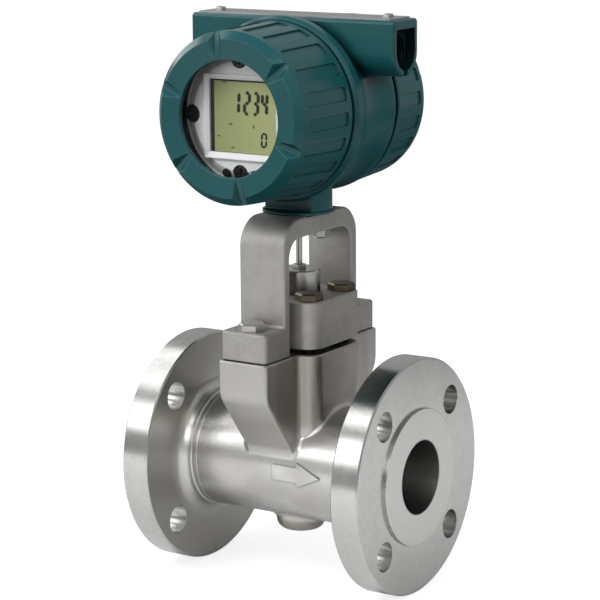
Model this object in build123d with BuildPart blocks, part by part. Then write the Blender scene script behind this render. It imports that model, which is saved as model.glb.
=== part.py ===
from build123d import *
import math
import os

# A vortex flow meter for a 40 mm pipe line, with its display housing on a bracket.
# X runs along the flow, the display faces -Y and Z is up.
# The origin is on the pipe's centre line, halfway between the two flange faces.

# Pipe line and flanges
face_to_face = 150.0
bore_radius = 19.85
flange_radius = 63.5
flange_thickness = 15.9
raised_face_radius = 36.6
raised_face_height = 1.6
bolt_circle = 98.4
bolt_hole_radius = 7.9
flange_bolt_count = 4
hub_radius = 32.2
hub_length = 7.5
hub_fillet = 6.5
rim_chamfer = 0.8
weld_bevel = 0.6

# Body casting
tube_radius = 31.5
seat_z = 64.0
pedestal_width = 50.0
pedestal_corner = 8.7
wing_width = 30.0
wing_reach = 56.3
wing_straight_z = 44.0
wing_round = 14.0
wing_foot_z = 7.0
wing_foot_sink = 1.2
wing_slope_end_out = 2.2
wing_slope_end_up = 8.2
wing_edge_round = 2.0
wing_root_blend = 4.0
tube_blend = 3.5
seat_edge = 0.8
boss_radius = 13.2
boss_drop = 7.2
boss_round = 5.5
boss_blend = 4.0
gasket_seat_height = 1.3
arrow_start_x = 2.1
arrow_length = 29.8
arrow_head_length = 14.8
arrow_tail_width = 8.2
arrow_head_width = 13.6
arrow_height = 1.1
arrow_root = 4.0
arrow_z = 0.2

# Shedder bar, its block and its sensor
stem_radius = 11.0
stem_clearance = 0.1
stem_bottom_z = 19.0
bar_front_width = 11.2
bar_rear_width = 4.8
bar_length = 15.0
bar_front_x = -7.0
bar_bottom_z = -18.6
pin_radius = 5.0
pin_length = 11.0
pin_chamfer = 0.8
gasket_radius = 17.0
gasket_thickness = 2.0
block_height = 25.0
block_edge = 0.8
block_bolt_spacing = 32.6
well_radius = 3.0
well_bottom_z = -4.0
slip = 0.1
sensor_head_radius = 8.0
sensor_head_height = 6.0
sensor_head_round = 1.0
cap_radius = 11.3
cap_height = 13.0
cap_wall = 2.6
cap_roof = 3.0
cap_chamfer = 0.6
lead_tube_radius = 1.7
lead_tube_wall = 0.5
lead_tube_top_z = 144.0
gland_across_flats = 7.0
gland_height = 2.2
gland_chamfer = 0.4

# Hex fasteners
m8_across_flats = 13.0
m8_head_height = 4.0
m8_radius = 4.0
m8_hole_radius = 4.5
m8_engagement = 14.0
m5_across_flats = 8.0
m5_head_height = 4.3
m5_radius = 2.5
m5_hole_radius = 2.8
m5_engagement = 9.0
thread_clearance = 0.05
thread_run_out = 1.5
hex_edge = 0.8
hex_turn = 30.0
foot_bolt_turn = 17.0
shank_point = 0.2
pan_round = 0.45
cross_length = 1.2
cross_width = 0.24
cross_depth = 0.5

# Bracket
bracket_width = 28.0
bracket_outer = 36.4
leg_thickness = 5.3
bracket_top_z = 136.4
bridge_thickness = 10.5
bracket_outer_corner = 15.5
bracket_inner_corner = 10.5
foot_reach = 54.9
foot_height = 15.8
foot_blend = 2.0
foot_side_round = 2.5
foot_bolt_y = 46.0
bracket_edge = 0.8
lead_hole_radius = 6.0
neck_screw_x = 9.4
neck_screw_y = 6.8

# Housing
housing_z = 192.4
body_front_y = -20.0
body_rear_y = 22.5
front_rim_radius = 48.7
rear_rim_radius = 47.3
front_rim_width = 6.5
rear_rim_width = 4.5
rim_bevel = 1.5
waist_radius = 43.8
mouth_radius = 42.5
mouth_depth = 11.0
chamber_radius = 39.2
partition_front_y = -6.0
partition_rear_y = -2.0
partition_skin = 1.0
screw_end_gap = 0.3
neck_base_radius = 19.4
neck_base_height = 1.4
neck_radius = 17.9
neck_base_blend = 1.2
neck_barrel_blend = 1.5
neck_flat = 10.5
neck_bore_radius = 7.0
neck_overlap = 1.5

# Cable entry block across the top of the housing
entry_length = 125.0
entry_y = 5.1
entry_width = 25.4
entry_top_z = 239.7
entry_drop = 16.8
entry_corner = 2.0
entry_end_corner = 1.5
entry_mouth_wall = 3.3
entry_roof = 4.8
entry_mouth_depth = 6.0
entry_thread_radius = 9.2
entry_thread_length = 20.0
entry_passage_radius = 7.5
entry_passage_length = 18.0
drain_width = 4.6

# Covers
cover_gap = 0.3
cover_radius = 46.4
cover_face_radius = 44.5
front_cover_depth = 47.1
rear_cover_depth = 37.2
front_groove_width = 0.4
rear_groove_width = 3.2
joint_ring_radius = 43.4
cover_face_bevel = 4.0
cover_edge_bevel = 0.6
cover_cavity_radius = 38.4
spigot_length = 10.0
spigot_clearance = 0.1
pocket_count = 22
pocket_phase = 79.9
pocket_width = 7.2
pocket_depth = 1.0
pocket_corner = 1.6
pocket_start = 4.0
pocket_front_margin = 7.6
notch_count = 6
notch_phase = 40.0
notch_depth = 3.0
notch_floor_half = 1.3
notch_wall_slope = 0.9
notch_inner_radius = 31.0
notch_overrun = 4.0
notch_lead = 2.0
cutter_excess = 3.0
ring_section = 2.2
ring_clearance = 0.05
window_radius = 30.0
window_dish = 1.3
glass_radius = 37.0
glass_thickness = 5.5
glass_bevel = 0.5
window_gasket_thickness = 0.6
window_gasket_inner = 31.0
lip_thickness = 3.9
retainer_inner_radius = 34.5
retainer_thickness = 4.0
rear_face_wall = 5.7

# Display
bezel_gap = 2.0
bezel_face_radius = 28.3
bezel_step_radius = 33.5
bezel_skirt_gap = 3.4
bezel_slope_depth = 3.0
bezel_depth = 9.4
bezel_wall = 1.8
lcd_width = 40.0
lcd_height = 37.0
lcd_x = 1.8
lcd_recess = 1.0
lcd_margin = 0.3
board_thickness = 1.6
display_screw_circle = 29.5
display_screw_head_radius = 4.75
display_screw_head_height = 2.4
display_screw_radius = 1.5
display_screw_length = 12.0
display_screw_count = 4
screw_seat_drop = 2.9
button_x = 8.7
button_drop = 29.2
button_radius = 2.2
button_stand = 0.6
button_flange_radius = 2.6
button_flange_thickness = 1.0
button_travel = 0.8
button_clearance = 0.1
button_spare = 0.4
button_edge = 0.5
standoff_radius = 3.2
standoff_length = 8.0

# Amplifier and terminals
amplifier_radius = 35.5
amplifier_bevel = 2.0
amplifier_screw_circle = 27.0
amplifier_screw_radius = 2.0
amplifier_screw_head_radius = 3.6
amplifier_screw_head_height = 2.6
amplifier_screw_count = 4
terminal_width = 58.0
terminal_height = 30.0
terminal_depth = 16.0
terminal_z = 186.0
terminal_corner = 4.0
terminal_count = 5
terminal_pitch = 9.5
terminal_slot_width = 7.6
terminal_slot_depth = 6.0
terminal_screw_radius = 2.0
terminal_screw_head_radius = 3.3
terminal_screw_head_height = 2.4
terminal_screw_length = 6.5
terminal_slot_height = 24.0
fixing_screw_x = 26.0
fixing_screw_radius = 1.5
fixing_screw_head_radius = 2.4

# Nameplate
plate_length = 119.0
plate_width = 21.4
plate_thickness = 0.8
plate_corner = 2.0
plate_screw_x = 52.0
plate_screw_radius = 1.5
plate_screw_head_radius = 2.8
plate_screw_head_height = 1.8
plate_screw_length = 3.6

# How close to a face, or how far from it, an edge lies for it to be picked for a blend
pick = 0.02
pick_wide = 0.1
pick_away = 1.0

# Places worked out from the sizes above
flange_face_x = face_to_face / 2 - raised_face_height
flange_back_x = flange_face_x - flange_thickness
weld_x = flange_back_x - hub_length
boss_bottom_z = -(tube_radius + boss_drop)
gasket_top_z = seat_z + gasket_seat_height + gasket_thickness
block_top_z = gasket_top_z + block_height
cap_top_z = block_top_z + cap_height
bridge_bottom_z = bracket_top_z - bridge_thickness
bracket_inner = bracket_outer - leg_thickness
foot_top_z = seat_z + foot_height
front_joint_y = body_front_y - cover_gap
rear_joint_y = body_rear_y + cover_gap
entry_half_width = entry_width / 2
bezel_skirt_radius = cover_cavity_radius - bezel_skirt_gap
entry_round_z = entry_top_z - entry_drop
glass_front_y = front_joint_y - front_cover_depth + lip_thickness + window_gasket_thickness
glass_back_y = glass_front_y + glass_thickness
bezel_face_y = glass_back_y + bezel_gap
board_front_y = bezel_face_y + bezel_depth - board_thickness
standoff_front_y = board_front_y + board_thickness
screw_seat_y = bezel_face_y + screw_seat_drop
button_flange_y = board_front_y - button_travel - button_spare - button_flange_thickness
amplifier_front_y = standoff_front_y + standoff_length
amplifier_depth = partition_front_y - amplifier_front_y
spigot_radius = mouth_radius - spigot_clearance
ring_inner_radius = spigot_radius - ring_section
terminal_face_y = partition_rear_y + terminal_depth
terminal_drop = terminal_z - housing_z
terminal_hole_depth = terminal_slot_depth + terminal_screw_length + screw_end_gap
partition_hole_depth = partition_rear_y - partition_front_y - partition_skin
neck_height = housing_z - chamber_radius + neck_overlap - bracket_top_z
housing_axis = Axis((0, 0, housing_z), (0, 1, 0))


def drum_plane(y, outward):
    """A plane through the housing's axis: local x runs outwards along it and local y is up."""
    return Plane(origin=(0, y, housing_z), x_dir=(0, outward, 0), z_dir=(outward, 0, 0))


def disc_plane(y, outward):
    """A plane across the housing's axis at y: its normal points outwards and local y is up."""
    return Plane(origin=(0, y, housing_z), x_dir=(-outward, 0, 0), z_dir=(0, outward, 0))


def turned(profile, plane, axis):
    """One solid of revolution from a closed list of corners on a plane."""
    with BuildPart() as solid:
        with BuildSketch(plane):
            with BuildLine():
                Polyline(*profile, close=True)
            make_face()
        revolve(axis=axis)
    return solid.part


def hex_screw(across_flats, head_height, radius, length, turn):
    """A hex screw: the head stands on z = 0 and the shank hangs below it."""
    with BuildPart() as screw:
        with BuildSketch():
            RegularPolygon(across_flats / 2, 6, major_radius=False, rotation=turn)
        extrude(amount=head_height)
        chamfer(screw.faces().sort_by(Axis.Z)[-1].edges(), hex_edge)
        with BuildSketch(Plane.XY):
            Circle(radius)
        extrude(amount=-length)
        chamfer(screw.faces().sort_by(Axis.Z)[0].edges(), radius * shank_point)
    return screw.part


def pan_screw(head_radius, head_height, radius, length):
    """A cross-head screw: the head stands on z = 0 and the shank hangs below it."""
    with BuildPart() as screw:
        with BuildSketch():
            Circle(head_radius)
        extrude(amount=head_height)
        fillet(screw.faces().sort_by(Axis.Z)[-1].edges(), head_height * pan_round)
        with BuildSketch(Plane.XY.offset(head_height)):
            Rectangle(head_radius * cross_length, head_radius * cross_width)
            Rectangle(head_radius * cross_width, head_radius * cross_length)
        extrude(amount=-head_height * cross_depth, mode=Mode.SUBTRACT)
        with BuildSketch():
            Circle(radius)
        extrude(amount=-length)
    return screw.part


def pipe_flange():
    """The outlet flange: a weld neck, a disc with bolt holes and a raised face."""
    profile = [
        (weld_x, bore_radius),
        (face_to_face / 2, bore_radius),
        (face_to_face / 2, raised_face_radius),
        (flange_face_x, raised_face_radius),
        (flange_face_x, flange_radius),
        (flange_back_x, flange_radius),
        (flange_back_x, hub_radius),
        (weld_x + weld_bevel, hub_radius),
        (weld_x, hub_radius - weld_bevel),
    ]
    with BuildPart() as flange:
        with BuildSketch():
            with BuildLine():
                Polyline(*profile, close=True)
            make_face()
        revolve(axis=Axis.X)
        circles = flange.edges().filter_by(GeomType.CIRCLE)
        rims = [e for e in circles if abs(e.radius - flange_radius) < pick]
        chamfer(rims, rim_chamfer)
        root = [
            e for e in flange.edges().filter_by(GeomType.CIRCLE)
            if abs(e.radius - hub_radius) < pick and abs(e.center().X - flange_back_x) < pick
        ]
        fillet(root, hub_fillet)
        with Locations(Plane(origin=(flange_face_x, 0, 0), x_dir=(0, 1, 0), z_dir=(1, 0, 0))):
            with PolarLocations(bolt_circle / 2, flange_bolt_count, start_angle=45):
                Hole(bolt_hole_radius)
    return flange.part


outlet = pipe_flange()

with BuildPart() as outlet_flange:
    add(outlet)

with BuildPart() as inlet_flange:
    mirror(outlet, about=Plane.YZ)

# The flow arrow stands proud of the tube's front.
with BuildPart() as flow_arrow:
    with BuildSketch(Plane.XZ.offset(tube_radius - arrow_root)):
        with BuildLine():
            tail_end = arrow_start_x + arrow_length - arrow_head_length
            Polyline(
                (arrow_start_x, arrow_z - arrow_tail_width / 2),
                (tail_end, arrow_z - arrow_tail_width / 2),
                (tail_end, arrow_z - arrow_head_width / 2),
                (arrow_start_x + arrow_length, arrow_z),
                (tail_end, arrow_z + arrow_head_width / 2),
                (tail_end, arrow_z + arrow_tail_width / 2),
                (arrow_start_x, arrow_z + arrow_tail_width / 2),
                close=True,
            )
        make_face()
    extrude(amount=tube_radius)
    with BuildSketch(Plane.YZ):
        Circle(tube_radius + arrow_height)
    extrude(amount=weld_x, mode=Mode.INTERSECT)

# Where the blend between a wing's side and a pedestal's corner has its centre.
pedestal_corner_at = pedestal_width / 2 - pedestal_corner
root_x = wing_width / 2 + wing_root_blend
root_run = root_x - pedestal_corner_at
root_y = pedestal_corner_at + math.sqrt((pedestal_corner + wing_root_blend) ** 2 - root_run ** 2)


def on_tube(edge):
    """True for an edge that lies on the tube's round side, away from its ends."""
    points = [edge @ t for t in (0.1, 0.5, 0.9)]
    round_side = all(abs(math.hypot(p.Y, p.Z) - tube_radius) < pick for p in points)
    return round_side and abs(points[1].X) < weld_x - pick_away


def on_wing_side(edge):
    """True for an edge that bounds a wing's flat side, where the wing stands clear of the tube."""
    start, middle, end = (edge @ t for t in (0, 0.5, 1))
    in_side = all(abs(abs(p.X) - wing_width / 2) < pick for p in (start, middle, end))
    root_line = abs(middle.Y) < root_y + pick_wide and edge.geom_type == GeomType.LINE
    return in_side and middle.Z < seat_z - pick_wide and not root_line and not on_tube(edge)


# The casting: a tube with a square pedestal, two wings, a boss below and the flow arrow.
with BuildPart() as meter_body:
    with BuildSketch(Plane.YZ.offset(-pedestal_width / 2)) as wing_outline:
        with BuildLine():
            foot = (tube_radius - wing_foot_sink, wing_foot_z)
            slope_end = (tube_radius + wing_slope_end_out, wing_foot_z + wing_slope_end_up)
            Line((wing_reach, seat_z), (wing_reach, wing_straight_z))
            slope = Line((wing_reach, wing_straight_z), slope_end)
            TangentArc(slope_end, foot, tangent=slope % 1)
            Polyline(foot, (0, wing_foot_z), (0, seat_z), (wing_reach, seat_z))
        make_face()
        low_corner = wing_outline.vertices().sort_by_distance((wing_reach, wing_straight_z, 0))[0]
        fillet(low_corner, wing_round)
        with Locations((pedestal_width / 4, seat_z / 2)):
            Rectangle(pedestal_width / 2, seat_z)
        mirror(about=Plane.YZ)
    extrude(amount=pedestal_width)
    with BuildSketch():
        RectangleRounded(pedestal_width, pedestal_width, pedestal_corner)
        with BuildLine():
            Polyline(
                (0, pedestal_corner_at),
                (0, root_y),
                (root_x, root_y),
                (pedestal_corner_at, pedestal_corner_at),
                close=True,
            )
        make_face()
        with Locations((root_x, root_y)):
            Circle(wing_root_blend, mode=Mode.SUBTRACT)
        mirror(about=Plane.XZ)
        mirror(about=Plane.YZ)
        Rectangle(wing_width, 2 * wing_reach)
    extrude(amount=seat_z, mode=Mode.INTERSECT)
    with BuildSketch(Plane.YZ.offset(-weld_x)):
        Circle(tube_radius)
    extrude(amount=2 * weld_x)
    fillet([e for e in meter_body.edges() if on_wing_side(e)], wing_edge_round)
    roots = [e for e in meter_body.edges() if on_tube(e) and (e @ 0.5).Z > 0]
    fillet([e for e in roots if abs((e @ 0.5).X) > pick_away], tube_blend)
    with BuildSketch(Plane.XY.offset(boss_bottom_z)):
        Circle(boss_radius)
    extrude(amount=-boss_bottom_z)
    fillet([e for e in meter_body.edges() if on_tube(e) and (e @ 0.5).Z < 0], boss_blend)
    fillet(meter_body.faces().sort_by(Axis.Z)[0].edges(), boss_round)
    chamfer(meter_body.faces().sort_by(Axis.Z)[-1].edges(), seat_edge)
    ends = [e for e in meter_body.edges() if abs(abs((e @ 0.5).X) - weld_x) < pick]
    chamfer(ends, weld_bevel)
    with BuildSketch(Plane.XY.offset(seat_z)):
        Circle(gasket_radius)
    extrude(amount=gasket_seat_height)
    add(flow_arrow.part)
    with BuildSketch(Plane.YZ.offset(-weld_x)):
        Circle(bore_radius)
    extrude(amount=2 * weld_x, mode=Mode.SUBTRACT)
    with BuildSketch():
        Circle(stem_radius + stem_clearance)
    extrude(amount=seat_z + gasket_seat_height, mode=Mode.SUBTRACT)
    with BuildSketch(Plane.XY.offset(bar_bottom_z - pin_length - slip)):
        Circle(pin_radius + slip)
    extrude(amount=pin_length + slip, mode=Mode.SUBTRACT)
    with Locations((0, 0, seat_z)):
        with GridLocations(block_bolt_spacing, block_bolt_spacing, 2, 2):
            Hole(m8_radius + thread_clearance, m8_engagement + thread_run_out)
        with GridLocations(0, 2 * foot_bolt_y, 1, 2):
            Hole(m8_radius + thread_clearance, m8_engagement + thread_run_out)

# The bar that sheds the vortices: a trapezoid across the bore, below a round stem.
with BuildPart() as shedder_bar:
    with BuildSketch(Plane.XY.offset(stem_bottom_z)):
        Circle(stem_radius)
    extrude(amount=gasket_top_z - stem_bottom_z)
    with BuildSketch(Plane.XY.offset(bar_bottom_z)):
        with BuildLine():
            bar_rear_x = bar_front_x + bar_length
            Polyline(
                (bar_front_x, -bar_front_width / 2),
                (bar_rear_x, -bar_rear_width / 2),
                (bar_rear_x, bar_rear_width / 2),
                (bar_front_x, bar_front_width / 2),
                close=True,
            )
        make_face()
    extrude(amount=stem_bottom_z - bar_bottom_z)
    with BuildSketch(Plane.XY.offset(bar_bottom_z)):
        Circle(pin_radius)
    extrude(amount=-pin_length)
    chamfer(shedder_bar.faces().sort_by(Axis.Z)[0].edges(), pin_chamfer)
    with BuildSketch(Plane.XY.offset(well_bottom_z)):
        Circle(well_radius)
    extrude(amount=gasket_top_z - well_bottom_z, mode=Mode.SUBTRACT)

with BuildPart() as shedder_gasket:
    with BuildSketch(Plane.XY.offset(seat_z + gasket_seat_height)):
        Circle(gasket_radius)
        Circle(stem_radius + slip, mode=Mode.SUBTRACT)
    extrude(amount=gasket_thickness)

# The square block on the stem, held by four hex bolts.
with BuildPart() as shedder_block:
    with BuildSketch(Plane.XY.offset(gasket_top_z)):
        RectangleRounded(pedestal_width, pedestal_width, pedestal_corner)
    extrude(amount=block_height)
    chamfer(shedder_block.faces().sort_by(Axis.Z)[-1].edges(), block_edge)
    with Locations((0, 0, block_top_z)):
        Hole(well_radius)
        with GridLocations(block_bolt_spacing, block_bolt_spacing, 2, 2):
            Hole(m8_hole_radius)

block_bolt = hex_screw(
    m8_across_flats, m8_head_height, m8_radius, block_top_z - seat_z + m8_engagement, hex_turn
)

with BuildPart() as shedder_bolts:
    with Locations((0, 0, block_top_z)):
        with GridLocations(block_bolt_spacing, block_bolt_spacing, 2, 2):
            add(block_bolt)

# The rod that feels the bar's vibration, with its head under the cap.
with BuildPart() as vibration_sensor:
    with BuildSketch(Plane.XY.offset(well_bottom_z + slip)):
        Circle(well_radius - slip)
    extrude(amount=block_top_z - well_bottom_z - slip)
    with BuildSketch(Plane.XY.offset(block_top_z)):
        Circle(sensor_head_radius)
    extrude(amount=sensor_head_height)
    fillet(vibration_sensor.faces().sort_by(Axis.Z)[-1].edges(), sensor_head_round)

with BuildPart() as sensor_cap:
    with BuildSketch(Plane.XY.offset(block_top_z)):
        Circle(cap_radius)
    extrude(amount=cap_height)
    chamfer(sensor_cap.faces().sort_by(Axis.Z)[-1].edges(), cap_chamfer)
    with BuildSketch(Plane.XY.offset(block_top_z)):
        Circle(cap_radius - cap_wall)
    extrude(amount=cap_height - cap_roof, mode=Mode.SUBTRACT)
    with Locations((0, 0, cap_top_z)):
        Hole(lead_tube_radius + slip)

with BuildPart() as lead_tube_gland:
    with BuildSketch(Plane.XY.offset(cap_top_z)):
        RegularPolygon(gland_across_flats / 2, 6, major_radius=False)
        Circle(lead_tube_radius + slip, mode=Mode.SUBTRACT)
    extrude(amount=gland_height)
    chamfer(lead_tube_gland.faces().sort_by(Axis.Z)[-1].outer_wire().edges(), gland_chamfer)

lead_tube_bottom_z = cap_top_z - cap_roof

with BuildPart() as lead_tube:
    with BuildSketch(Plane.XY.offset(lead_tube_bottom_z)):
        Circle(lead_tube_radius)
        Circle(lead_tube_radius - lead_tube_wall, mode=Mode.SUBTRACT)
    extrude(amount=lead_tube_top_z - lead_tube_bottom_z)

# The bracket is one bent and machined piece with a foot at the end of each leg.
with BuildPart() as bracket:
    with BuildSketch(Plane.YZ.offset(-bracket_width / 2)) as bracket_outline:
        with BuildLine():
            Polyline(
                (0, bracket_top_z),
                (bracket_outer, bracket_top_z),
                (bracket_outer, foot_top_z),
                (foot_reach, foot_top_z),
                (foot_reach, seat_z),
                (bracket_inner, seat_z),
                (bracket_inner, bridge_bottom_z),
                (0, bridge_bottom_z),
                close=True,
            )
        make_face()
        corners = bracket_outline.vertices()
        fillet(corners.sort_by_distance((bracket_outer, bracket_top_z, 0))[0], bracket_outer_corner)
        corners = bracket_outline.vertices()
        fillet(corners.sort_by_distance((bracket_inner, bridge_bottom_z, 0))[0], bracket_inner_corner)
        corners = bracket_outline.vertices()
        fillet(corners.sort_by_distance((bracket_outer, foot_top_z, 0))[0], foot_blend)
        mirror(about=Plane.YZ)
    extrude(amount=bracket_width)
    upright = bracket.edges().filter_by(Axis.Z)
    end_y = foot_reach - pick_wide
    fillet([e for e in upright if abs((e @ 0.5).Y) > end_y], foot_side_round)
    seam_y = end_y - foot_side_round
    smooth = [e for e in bracket.edges().filter_by(Axis.X) if abs((e @ 0.5).Y) < end_y]
    smooth += [e for e in bracket.edges().filter_by(Axis.Z) if abs((e @ 0.5).Y) > seam_y]
    chamfer([e for e in bracket.edges() if e not in smooth], bracket_edge)
    with Locations((0, 0, bracket_top_z)):
        Hole(lead_hole_radius, bridge_thickness)
    with Locations((0, 0, bracket_top_z)):
        with Locations((neck_screw_x, neck_screw_y), (-neck_screw_x, -neck_screw_y)):
            Hole(m5_hole_radius, bridge_thickness)
    with Locations((0, 0, foot_top_z)):
        with GridLocations(0, 2 * foot_bolt_y, 1, 2):
            Hole(m8_hole_radius, foot_height)

foot_bolt = hex_screw(
    m8_across_flats, m8_head_height, m8_radius, foot_height + m8_engagement, foot_bolt_turn
)

with BuildPart() as bracket_bolts:
    with Locations((0, 0, foot_top_z)):
        with GridLocations(0, 2 * foot_bolt_y, 1, 2):
            add(foot_bolt)

# The neck screws come from below, so their heads hang under the bracket's bridge.
neck_screw = hex_screw(
    m5_across_flats, m5_head_height, m5_radius, bridge_thickness + m5_engagement, hex_turn
)

with BuildPart() as neck_screws:
    under_bridge = Plane(origin=(0, 0, bridge_bottom_z), x_dir=(1, 0, 0), z_dir=(0, 0, -1))
    with Locations(under_bridge):
        with Locations((neck_screw_x, -neck_screw_y), (-neck_screw_x, neck_screw_y)):
            add(neck_screw)


def on_neck(edge):
    """True for an edge that goes round the neck, at its base disc or where it meets the barrel."""
    points = [edge @ t for t in (0.05, 0.5, 0.95)]
    on_round = all(abs(math.hypot(p.X, p.Y) - neck_radius) < pick for p in points)
    on_flat = all(abs(abs(p.Y) - neck_flat) < pick for p in points)
    inside = all(math.hypot(p.X, p.Y) < neck_radius + pick_wide for p in points)
    upright = abs((edge @ 0).Z - (edge @ 1).Z) > pick_away and on_round and on_flat
    below = points[1].Z < housing_z - chamber_radius
    return (on_round or on_flat) and inside and below and not upright


# The housing's barrel is turned inside and waisted outside, with the entry block above.
with BuildPart() as housing_body:
    with BuildSketch(drum_plane(0, 1)):
        with BuildLine():
            front_end = body_front_y + front_rim_width
            rear_end = body_rear_y - rear_rim_width
            Polyline(
                (front_end, front_rim_radius),
                (body_front_y + rim_bevel, front_rim_radius),
                (body_front_y, front_rim_radius - rim_bevel),
                (body_front_y, 0),
                (body_rear_y, 0),
                (body_rear_y, rear_rim_radius - rim_bevel),
                (body_rear_y - rim_bevel, rear_rim_radius),
                (rear_end, rear_rim_radius),
            )
            middle = (front_end + rear_end) / 2
            ThreePointArc((rear_end, rear_rim_radius), (middle, waist_radius), (front_end, front_rim_radius))
        make_face()
    revolve(axis=housing_axis)
    with BuildSketch(Plane.YZ.offset(-entry_length / 2)):
        with BuildLine():
            left_y = entry_y - entry_half_width
            right_y = entry_y + entry_half_width
            Polyline(
                (left_y, entry_round_z),
                (left_y, entry_top_z),
                (right_y, entry_top_z),
                (right_y, entry_round_z),
            )
            ThreePointArc(
                (right_y, entry_round_z),
                (entry_y, entry_round_z - entry_half_width),
                (left_y, entry_round_z),
            )
        make_face()
    extrude(amount=entry_length)
    fillet(housing_body.edges().filter_by(Axis.X).group_by(Axis.Z)[-1], entry_corner)
    fillet(housing_body.faces().sort_by(Axis.X)[-1].edges(), entry_end_corner)
    fillet(housing_body.faces().sort_by(Axis.X)[0].edges(), entry_end_corner)
    with BuildSketch(Plane.XY.offset(bracket_top_z)):
        Circle(neck_radius)
        Rectangle(2 * neck_radius, 2 * neck_flat, mode=Mode.INTERSECT)
    extrude(amount=neck_height)
    with BuildSketch(Plane.XY.offset(bracket_top_z)):
        Circle(neck_base_radius)
    extrude(amount=neck_base_height)
    neck_edges = [e for e in housing_body.edges() if on_neck(e)]
    neck_base_z = bracket_top_z + neck_base_height
    fillet([e for e in neck_edges if (e @ 0.5).Z > neck_base_z + pick_away], neck_barrel_blend)
    neck_edges = [e for e in housing_body.edges() if on_neck(e)]
    fillet([e for e in neck_edges if abs((e @ 0.5).Z - neck_base_z) < pick], neck_base_blend)
    with BuildSketch(disc_plane(body_front_y, 1)):
        Circle(mouth_radius)
    extrude(amount=mouth_depth, mode=Mode.SUBTRACT)
    with BuildSketch(disc_plane(body_front_y, 1)):
        Circle(chamber_radius)
    extrude(amount=partition_front_y - body_front_y, mode=Mode.SUBTRACT)
    with BuildSketch(disc_plane(body_rear_y, -1)):
        Circle(mouth_radius)
    extrude(amount=mouth_depth, mode=Mode.SUBTRACT)
    with BuildSketch(disc_plane(body_rear_y, -1)):
        Circle(chamber_radius)
    extrude(amount=body_rear_y - partition_rear_y, mode=Mode.SUBTRACT)
    for side in (1, -1):
        end_plane = Plane(
            origin=(side * entry_length / 2, entry_y, entry_round_z), x_dir=(0, 1, 0), z_dir=(side, 0, 0)
        )
        mouth_half = entry_half_width - entry_mouth_wall
        mouth_top = entry_drop - entry_roof
        with BuildSketch(end_plane):
            Circle(mouth_half)
            with Locations((0, side * mouth_top / 2)):
                Rectangle(2 * mouth_half, mouth_top)
            with Locations((0, -side * entry_half_width)):
                Rectangle(drain_width, 2 * entry_half_width)
        extrude(amount=-entry_mouth_depth, mode=Mode.SUBTRACT)
        with BuildSketch(end_plane.offset(-entry_mouth_depth)):
            Circle(entry_thread_radius)
        extrude(amount=-entry_thread_length, mode=Mode.SUBTRACT)
        with BuildSketch(end_plane.offset(-entry_mouth_depth - entry_thread_length)):
            Circle(entry_passage_radius)
        extrude(amount=-entry_passage_length, mode=Mode.SUBTRACT)
    with BuildSketch(Plane.XY.offset(bracket_top_z)):
        Circle(neck_bore_radius)
    extrude(amount=neck_height, mode=Mode.SUBTRACT)
    with Locations(Plane(origin=(0, 0, bracket_top_z), x_dir=(1, 0, 0), z_dir=(0, 0, -1))):
        with Locations((neck_screw_x, -neck_screw_y), (-neck_screw_x, neck_screw_y)):
            Hole(m5_radius + thread_clearance, m5_engagement + thread_run_out)
    with Locations((0, entry_y, entry_top_z)):
        with GridLocations(2 * plate_screw_x, 0, 2, 1):
            Hole(plate_screw_radius + thread_clearance, plate_screw_length - plate_thickness)
    with Locations(disc_plane(partition_front_y, -1)):
        with PolarLocations(amplifier_screw_circle, amplifier_screw_count, start_angle=45):
            Hole(amplifier_screw_radius + thread_clearance, partition_hole_depth)
    with Locations(disc_plane(partition_rear_y, 1)):
        with Locations((0, terminal_drop)):
            with GridLocations(2 * fixing_screw_x, 0, 2, 1):
                Hole(fixing_screw_radius + thread_clearance, partition_hole_depth)


def side_pocket(length):
    """One recess in a cover's side, in its own frame: x is radial, y runs round and z is axial."""
    with BuildPart() as pocket:
        with BuildSketch(Plane.YZ):
            RectangleRounded(pocket_width, length, pocket_corner)
        extrude(amount=cutter_excess * pocket_depth)
    return pocket.part


def face_notch():
    """One tool notch in a cover's face: x is radial, y runs round and z is outwards."""
    reach = cover_radius - notch_inner_radius + notch_overrun
    high = cutter_excess * notch_depth
    wide = notch_floor_half + notch_wall_slope * high
    with BuildPart() as notch:
        with BuildSketch(Plane.YZ.offset(-notch_lead)):
            with BuildLine():
                Polyline(
                    (-notch_floor_half, 0), (notch_floor_half, 0), (wide, high), (-wide, high), close=True
                )
            make_face()
        extrude(amount=reach)
    return notch.part


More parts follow.
